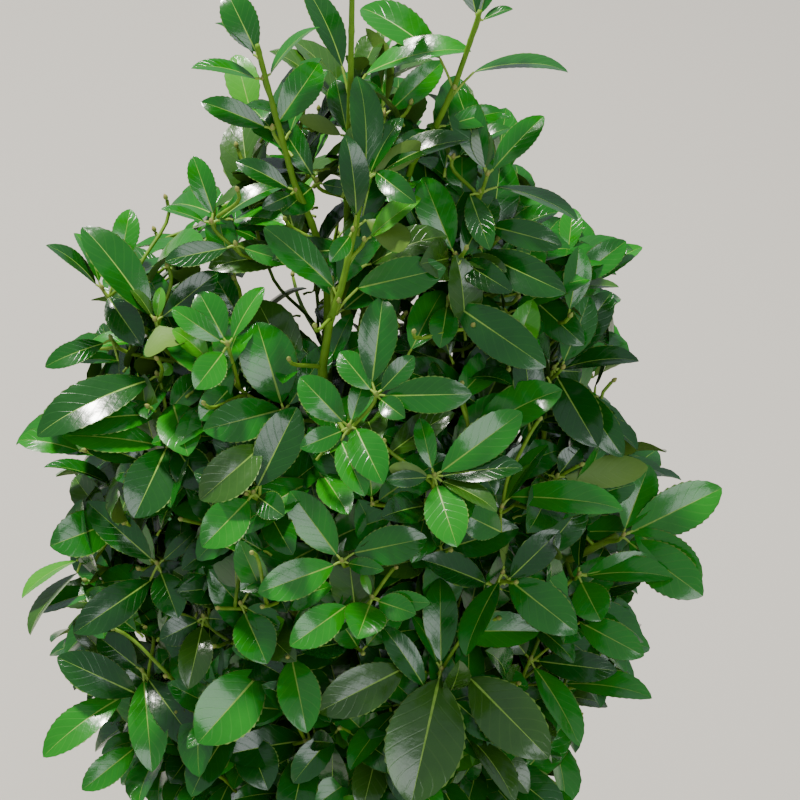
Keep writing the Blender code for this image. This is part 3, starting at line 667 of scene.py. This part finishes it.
# The shoots of the photograph, nearest first, each on a twig from what carries it
def growSeen():
    waiting = {name: placeAt(*shoot["at"], shoot["y"]) for name, shoot in seenShoots.items()}
    while waiting:
        best = min(waiting, key=lambda name: attach(waiting[name])[1])
        place = waiting.pop(best)
        number, _ = attach(place)
        outward = Vector((place.x, place.y, 0)) * 3
        axis = (Vector((0, 0, 1)) + outward).normalized()
        growTwig(twigPile, number, place, axis, 0)
        shoot = seenShoots[best]
        u, v = shoot["at"]
        tints = dice.choice([(0, 1), (1, 2), (0, 3), (2, 3)])
        for leaf in shoot["leaves"]:
            tipU, tipV, seenWidth = leaf[:3]
            turn = math.radians(leaf[3] if len(leaf) > 3 else 8)
            kind = leaf[4] if len(leaf) > 4 else "m"
            gone = math.hypot(tipU - u, tipV - v)
            share = min(0.15, 9 / gone)
            baseU, baseV = leaf[5] if len(leaf) > 5 else (u + (tipU - u) * share, v + (tipV - v) * share)
            _, _, depth = seenAt(place)
            scale = depth / pixelFocus
            base = viewPoint + seenRay(baseU, baseV) * depth
            span = math.hypot(tipU - baseU, tipV - baseV) * scale
            tip = viewPoint + seenRay(tipU, tipV) * (depth - span * math.tan(turn))
            length = (tip - base).length
            width = max(seenWidth * scale, 0.40 * length)
            normal = leafNormal(base, tip, seenWidth * scale, width, kind == "u")
            look = {"y": youngBlade, "o": oldBlade}.get(kind, dice.choice(tints))
            addLeaf(leafPile, dice.choice(blades), base, tip, normal, width, firstBlade + look)
            start = place
            if (base - place).length > 0.012:
                start = grown["places"][attach(base)[0]]
            stalk(start, base)
            ends = [seenAt(base), seenAt(tip)]
            shown.append((ends[0][0], ends[0][1], ends[1][0], ends[1][1], min(ends[0][2], ends[1][2]),
                          seenWidth / 2))
        addBud(place, axis, budLength)


# A pointed egg on a unit length
def budTemplate():
    form = bmesh.new()
    bmesh.ops.create_uvsphere(form, u_segments=7, v_segments=6, radius=1.0)
    points = []
    form.verts.ensure_lookup_table()
    for corner in form.verts:
        x, y, z = corner.co
        narrow = 0.34 * (1 - 0.45 * max(0.0, z))
        points.append((x * narrow, y * narrow, 0.5 + 0.5 * z))
    faces = [[c.index for c in face.verts] for face in form.faces]
    form.free()
    return np.array(points), faces


budShape = budTemplate()


# A bud that points along axis
def addBud(place, axis, length):
    side = axis.orthogonal().normalized()
    other = axis.cross(side)
    points, faces = budShape
    rows = np.outer(points[:, 0] * length, side) + np.outer(points[:, 1] * length, other) \
        + np.outer(points[:, 2] * length, axis) + np.array(place)
    budPile.add(rows, faces, [0] * len(faces))


growSeen()
seenArray = np.array(shown)
print("seen leaves", len(shown))


# How far a pixel is from the nearest seen leaf, and that leaf's distance from the view
def awayFromSeen(u, v):
    start, end = seenArray[:, 0:2], seenArray[:, 2:4]
    span = end - start
    share = np.clip(((np.array((u, v)) - start) * span).sum(1) / (span ** 2).sum(1), 0, 1)
    gap = np.linalg.norm(start + span * share[:, None] - np.array((u, v)), axis=1) - seenArray[:, 5]
    nearest = int(np.argmin(gap))
    close = gap < 6
    front = seenArray[close, 4].min() if close.any() else 0.0
    return gap[nearest], front, close.any()


# The crown's inner outline in the photograph: row, left and right pixel of where leaves lie close
crownRows = [
    (60, 340, 440), (130, 300, 470), (200, 290, 515), (230, 190, 560), (260, 160, 590), (290, 112, 600),
    (330, 105, 580), (360, 100, 572), (400, 76, 590), (440, 84, 600), (470, 98, 615), (500, 78, 640),
    (540, 80, 655), (570, 84, 660), (600, 84, 640), (640, 88, 610), (680, 96, 590), (720, 100, 560),
    (760, 96, 548), (800, 100, 540)]


# Whether a pixel lies within that outline
def insideCrown(u, v):
    for above, below in zip(crownRows, crownRows[1:]):
        if above[0] <= v <= below[0]:
            share = (v - above[0]) / (below[0] - above[0])
            left = above[1] + (below[1] - above[1]) * share
            right = above[2] + (below[2] - above[2]) * share
            return left < u < right
    return False


# Limits in metres that unseen leaves stay in, and the pot's rim, which they stay clear of
leafLeft, leafRight, leafFront, leafBack, leafTop = -0.183, 0.214, -0.148, 0.180, 0.785
rimHeight, rimReach = 0.176, 0.122
# Pixels an unseen leaf may show past the seen ones: at the edge, in the upper crown and lower down
edgeGap, upperGap, lowerGap = 3, 10, 26


# Whether an unseen leaf stays behind the seen ones and out of the open windows
def allowed(base, tip):
    for share in (0.1, 0.5, 0.95):
        place = base.lerp(tip, share)
        if place.z < rimHeight and math.hypot(place.x, place.y) < rimReach:
            return False
        u, v, depth = seenAt(place)
        if not (leafLeft < place.x < leafRight and leafFront < place.y < leafBack and place.z < leafTop):
            return False
        if v < -12 or v > pictureSize:
            continue
        for left, top, right, bottom in openWindows:
            if left - 2 < u < right + 2 and top - 2 < v < bottom + 2:
                return False
        gap, front, covered = awayFromSeen(u, v)
        if gap > (edgeGap if v < 230 or not insideCrown(u, v) else upperGap if v < 420 else lowerGap):
            return False
        if covered and depth < front + 0.010:
            return False
    return True


# The crown's half sizes across and front to back at each height, about a middle at each height
crownShape = [
    (0.215, 0.105, 0.100), (0.250, 0.135, 0.128), (0.300, 0.152, 0.142), (0.370, 0.160, 0.148),
    (0.450, 0.152, 0.140), (0.520, 0.136, 0.118), (0.570, 0.104, 0.088), (0.610, 0.066, 0.056),
    (0.650, 0.030, 0.030)]
crownMiddle = Vector((0.004, 0.018, 0))
crownFoot, crownTop = 0.215, 0.645
# Inner and outer share of the half size, least gap between shoots in metres, and places tried
crownLayers = [(0.80, 0.97, 0.029, 5200), (0.35, 0.72, 0.038, 2400)]


# The crown's half sizes at a height
def crownHalf(z):
    for low, high in zip(crownShape, crownShape[1:]):
        if low[0] <= z <= high[0]:
            share = (z - low[0]) / (high[0] - low[0])
            return low[1] + (high[1] - low[1]) * share, low[2] + (high[2] - low[2]) * share
    return 0.0, 0.0


pairGap = 0.011
stalkLength = 0.005


# A shoot of opposite pairs, each turned a quarter from the last, closed by a rosette
def growShoot(place, axis, number, chance):
    growTwig(twigPile, number, place, axis, 0)
    side = axis.orthogonal().normalized()
    side = (side * math.cos(chance.uniform(0, 6.28)) + axis.cross(side) * math.sin(chance.uniform(0, 6.28)))
    side = (side - axis * side.dot(axis)).normalized()
    tints = chance.choice([(0, 1), (1, 2), (0, 3), (0, 5)])
    pairs = chance.choice([3, 4, 4, 5])
    for pair in range(pairs):
        node = place - axis * (pairGap * (pairs - 1 - pair) + 0.001)
        spread = math.radians(78 - 40 * pair / max(1, pairs - 1) + chance.uniform(-8, 8))
        for way in (side, -side):
            turned = way + axis.cross(way) * chance.uniform(-0.25, 0.25)
            going = (axis * math.cos(spread) + turned.normalized() * math.sin(spread)).normalized()
            going.z -= 0.10
            going.normalize()
            length = chance.uniform(0.034, 0.052) * (0.72 if pair == pairs - 1 else 1.0)
            base = node + going * stalkLength
            tip = base + going * length
            if not allowed(base, tip):
                continue
            normal = axis - going * axis.dot(going) + Vector((0, 0, 0.3))
            youngTip = pair == pairs - 1 and chance.random() < 0.25
            look = youngBlade if youngTip else chance.choice(tints)
            pile = backPile if place.y > 0.03 else leafPile
            addLeaf(pile, chance.choice(coarseBlades), base, tip, normal,
                    length * chance.uniform(0.42, 0.52), firstBlade + look)
            stalk(node, base)
        side = axis.cross(side)
    addBud(place, axis, budLength)


# The rest of the crown: shoot tips spread evenly through its outer shell, then thinner inside it
def growUnseen():
    chance = random.Random("crown")
    tips = []
    for inner, outer, apart, tries in crownLayers:
        placed = []
        for _ in range(tries):
            z = chance.uniform(crownFoot, crownTop)
            angle = chance.uniform(0, 2 * math.pi)
            share = chance.uniform(inner, outer)
            across, deep = crownHalf(z)
            place = crownMiddle + Vector(
                (across * share * math.cos(angle), deep * share * math.sin(angle), z))
            if any((place - other).length < apart for other in placed):
                continue
            u, v, depth = seenAt(place)
            if v < pictureSize:
                gap, front, covered = awayFromSeen(u, v)
                if gap > 20 or (covered and depth < front + 0.008):
                    continue
            placed.append(place)
            outward = Vector((math.cos(angle), math.sin(angle), 0))
            rise = 0.75 + 1.2 * max(0, z - 0.45) / 0.2
            axis = outward * (0.9 if z < 0.5 else 0.6) + Vector((0, 0, rise))
            tips.append((place, axis.normalized()))
    for place, axis in sorted(tips, key=lambda tip: attach(tip[0])[1]):
        growShoot(place, axis, attach(place)[0], chance)
    print("unseen shoots", len(tips))


topShoot = placeAt(352, -52, 0.014)
growShoot(topShoot, Vector((0.02, 0, 1)).normalized(), attach(topShoot)[0], random.Random("top"))
growUnseen()
print("crown grown")

# A leathery leaf has a waxy skin: sharp white lights on deep green. Young leaves are pale and old ones
# olive, and the underside is matte.
blade = [
    leafMaterial("leafDeep", "#0b4d06", "#12660c", "#3f8a28", 0.20, 0.25),
    leafMaterial("leafMid", "#0e6006", "#177a0e", "#4c9a30", 0.19, 0.25),
    leafMaterial("leafFresh", "#147208", "#228c12", "#62ac3c", 0.21, 0.20),
    leafMaterial("leafShade", "#084006", "#0e560a", "#347a22", 0.22, 0.30),
    leafMaterial("leafYoung", "#328c0c", "#4ca61a", "#84c24c", 0.24, 0.18),
    leafMaterial("leafOld", "#244e0c", "#386818", "#628838", 0.24, 0.35),
]
midrib = speckledMaterial("leafMidrib", "#7ca83a", "#94b850", 3.333, 0.40, 0.05)
underside = leafMaterial("leafUnderside", "#547c24", "#688c30", "#84a048", 0.50, 0.25)
# Smooth green bark with a soft shine, on twigs and stalks
youngBark = speckledMaterial("youngBark", "#5e8a1c", "#7aa02c", 5.556, 0.50, 0.20)
stalkSkin = speckledMaterial("leafStalk", "#86ac34", "#9cbc4c", 3.333, 0.45, 0.05)
# Rough dry bark at the foot, which turns smooth and green between two heights in metres
stemBark = barkMaterial("stemBark", 0.34, 0.50)
boughBark = barkMaterial("boughBark", 0.28, 0.42)
budScale = speckledMaterial("budScale", "#8aa848", "#a89c58", 2.0, 0.50, 0.20)
# Moulded black polypropylene with a satin skin, then moist peat and shredded bark, both matte
potPlastic = speckledMaterial("potPlastic", "#16181c", "#22252b", 25.0, 0.38, 0.05, 0.5)
potCompost = speckledMaterial("compost", "#120d09", "#2c2118", 6.25, 0.95, 0.80)
barkChip = speckledMaterial("barkChip", "#2a1d12", "#4e3824", 4.545, 0.85, 0.60)
leafLooks = [blade[0], midrib, underside, *blade]

massNodes = [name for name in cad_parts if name.endswith(("_mass", "_tuft"))]
leaves = leafPile.build("leaves", leafLooks, "foliage")
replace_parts(leaves, *massNodes)
backPile.build("backLeaves", leafLooks, "foliage")
stalkPile.build("leafStalks", [stalkSkin], "green_bark")
twigPile.build("twigs", [youngBark], "green_bark")
budPile.build("buds", [budScale], "green_bark")
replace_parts(stemPile.build("stemLimbs", [stemBark], "bark"), *stems)
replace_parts(boughPile.build("boughLimbs", [boughBark], "green_bark"), *boughs)

# The container, turned from its profile, with drainage holes
pot = dict(height=0.180, rim=0.112, mouth=0.1036, base=0.080, wall=0.0018, floor=0.0022,
           drains=8, drainRing=0.064, drainRadius=0.005)


# The inner face of the wall at a height
def wallRadius(height):
    return pot["base"] - pot["wall"] + (pot["mouth"] - pot["base"] + pot["wall"]) * height / pot["height"]


# A closed body turned about the upright axis from its outline
def turnedBody(name, profile, steps):
    form = bmesh.new()
    corners = [form.verts.new((radius, 0, height)) for radius, height in profile]
    edges = [form.edges.new(pair) for pair in zip(corners, corners[1:])]
    bmesh.ops.spin(form, geom=corners + edges, cent=(0, 0, 0), axis=(0, 0, 1), angle=2 * math.pi,
                   steps=steps, use_merge=True)
    bmesh.ops.remove_doubles(form, verts=form.verts, dist=0.000005)
    bmesh.ops.recalc_face_normals(form, faces=form.faces)
    mesh = bpy.data.meshes.new(name)
    form.to_mesh(mesh)
    form.free()
    mesh.shade_smooth()
    mesh.set_sharp_from_angle(angle=math.radians(35))
    made = bpy.data.objects.new(name, mesh)
    bpy.context.scene.collection.objects.link(made)
    return made


def roundedCorner(centre, radius, start, stop, steps=5):
    return [(centre[0] + radius * math.cos(math.radians(start + (stop - start) * k / steps)),
             centre[1] + radius * math.sin(math.radians(start + (stop - start) * k / steps)))
            for k in range(steps + 1)]


top = pot["height"]
profile = [(0.0, pot["floor"]), (wallRadius(pot["floor"]) - 0.002, pot["floor"]),
           (wallRadius(0.004), 0.004)]
profile += [(wallRadius(0.004 + 0.1735 * k / 8), 0.004 + 0.1735 * k / 8) for k in range(1, 9)]
profile += roundedCorner((pot["mouth"] + 0.0016, top - 0.0014), 0.0014, 170, 90)
profile += roundedCorner((pot["rim"] - 0.0016, top - 0.0016), 0.0016, 90, 0)
profile += [(pot["rim"] - 0.0004, top - 0.007), (pot["rim"] - 0.0008, top - 0.0116)]
profile += [(pot["rim"] - 0.0014, top - 0.0120), (pot["rim"] - 0.0026, top - 0.0116)]
profile += [(pot["rim"] - 0.0022, top - 0.0024), (wallRadius(top - 0.0024) + pot["wall"], top - 0.0024)]
for height in (0.152, 0.148, 0.032, 0.028):
    step = 0.0 if height in (0.152, 0.028) else 0.0003
    profile.append((wallRadius(height) + pot["wall"] + step, height))
profile += [(wallRadius(0.004) + pot["wall"], 0.004), (pot["base"] - 0.0006, 0.0012),
            (pot["base"] - 0.0020, 0.0), (0.0, 0.0)]
container = turnedBody("container", profile[::-1], 96)
container.data.materials.append(potPlastic)
for number in range(pot["drains"]):
    angle = 2 * math.pi * (number + 0.5) / pot["drains"]
    form = bmesh.new()
    bmesh.ops.create_cone(form, cap_ends=True, segments=20, radius1=pot["drainRadius"],
                          radius2=pot["drainRadius"], depth=0.02)
    bmesh.ops.translate(form, verts=form.verts, vec=(
        pot["drainRing"] * math.cos(angle), pot["drainRing"] * math.sin(angle), 0))
    mesh = bpy.data.meshes.new("drain")
    form.to_mesh(mesh)
    form.free()
    drain = bpy.data.objects.new("drain", mesh)
    bpy.context.scene.collection.objects.link(drain)
    change = container.modifiers.new("drain", "BOOLEAN")
    change.operation = "DIFFERENCE"
    change.object = drain
    bpy.context.view_layer.update()
    finished = bpy.data.meshes.new_from_object(
        container.evaluated_get(bpy.context.evaluated_depsgraph_get()))
    container.modifiers.clear()
    container.data = finished
    bpy.data.objects.remove(drain, do_unlink=True)
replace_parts(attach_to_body(container, "root"), "pot")

# Compost with a crumbly top and chips of bark lying on it
edge = wallRadius(0.160) - 0.0004
profile = [(0.0, 0.0026), (wallRadius(0.0026) - 0.0006, 0.0026), (edge, 0.1595)]
profile += [(edge * (1 - k / 34), 0.1600 + 0.0034 * min(1.0, k / 18)) for k in range(1, 34)]
profile += [(0.0, 0.1634)]
soil = turnedBody("compostBody", profile, 120)
stemFeet = [bends[0] for _, _, bends in stems.values()]
for corner in soil.data.vertices:
    x, y, z = corner.co
    if z > 0.1597 and math.hypot(x, y) < edge - 0.001:
        near = min(math.hypot(x - foot[0], y - foot[1]) for foot in stemFeet)
        calm = min(1.0, max(0.0, (near - 0.006) / 0.01))
        lump = noise.noise(Vector((x, y, 0)) * 90) * 0.0016 + noise.noise(Vector((x, y, 3)) * 320) * 0.0010
        corner.co.z = z + lump * calm
soil.data.materials.append(potCompost)
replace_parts(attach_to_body(soil, "root"), "compost")
chipCount = 420
chipPile = Pile()
chance = random.Random("chips")
form = bmesh.new()
bmesh.ops.create_icosphere(form, subdivisions=1, radius=1.0)
chipPoints = [c.co.copy() for c in form.verts]
chipFaces = [[c.index for c in face.verts] for face in form.faces]
form.free()
for _ in range(chipCount):
    radius = (edge - 0.004) * math.sqrt(chance.random())
    angle = chance.uniform(0, 6.28)
    size = chance.uniform(0.0010, 0.0032)
    flat = chance.uniform(0.3, 0.7)
    spin = chance.uniform(0, 6.28)
    rows = []
    for point in chipPoints:
        knob = 1 + 0.3 * noise.noise(point * 2 + Vector((radius * 900, angle * 7, 0)))
        x, y = point.x * size * knob, point.y * size * knob * 0.6
        rows.append((radius * math.cos(angle) + x * math.cos(spin) - y * math.sin(spin),
                     radius * math.sin(angle) + x * math.sin(spin) + y * math.cos(spin),
                     0.1632 - 0.002 * (radius / edge) ** 4 + point.z * size * flat * knob))
    chipPile.add(rows, chipFaces, [0] * len(chipFaces))
chipPile.build("compostChips", [barkChip], "compost")
print("pot and compost made")

# A plain pale floor and soft light from high behind on the left
form = bmesh.new()
bmesh.ops.create_grid(form, x_segments=1, y_segments=1, size=8.0)
mesh = bpy.data.meshes.new("floor")
form.to_mesh(mesh)
form.free()
floor = bpy.data.objects.new("floor", mesh)
bpy.context.scene.collection.objects.link(floor)
paper, _, shader = newMaterial("palePaper", 0.9, 0.2)
shader.inputs["Base Color"].default_value = linear("#d6d0c6")
mesh.materials.append(paper)


def addLight(name, place, aim, size, power, color):
    lamp = bpy.data.lights.new(name, "AREA")
    lamp.size = size
    lamp.energy = power
    lamp.color = color
    made = bpy.data.objects.new(name, lamp)
    bpy.context.scene.collection.objects.link(made)
    made.location = place
    made.rotation_euler = (Vector(aim) - Vector(place)).to_track_quat("-Z", "Y").to_euler()
    return made


addLight("keyLight", (-0.7, 0.7, 2.7), (0, 0, 0.45), 0.30, 110.0, (1.0, 0.97, 0.90))
addLight("frontFill", (0.9, -2.0, 2.0), (0, 0, 0.45), 1.4, 22.0, (0.94, 0.97, 1.0))
world = bpy.data.worlds.new("softSky")
world.use_nodes = True
world.node_tree.nodes["Background"].inputs["Color"].default_value = (0.80, 0.88, 1.0, 1.0)
world.node_tree.nodes["Background"].inputs["Strength"].default_value = 0.45
bpy.context.scene.world = world

lens = bpy.data.cameras.new("camera")
lens.sensor_width = 36.0
lens.lens = pixelFocus / pictureSize * lens.sensor_width
lens.clip_start = 0.05
camera = bpy.data.objects.new("camera", lens)
bpy.context.scene.collection.objects.link(camera)
camera.location = viewPoint
camera.rotation_euler = (math.radians(90) - viewPitch, 0, 0)
bpy.context.scene.camera = camera
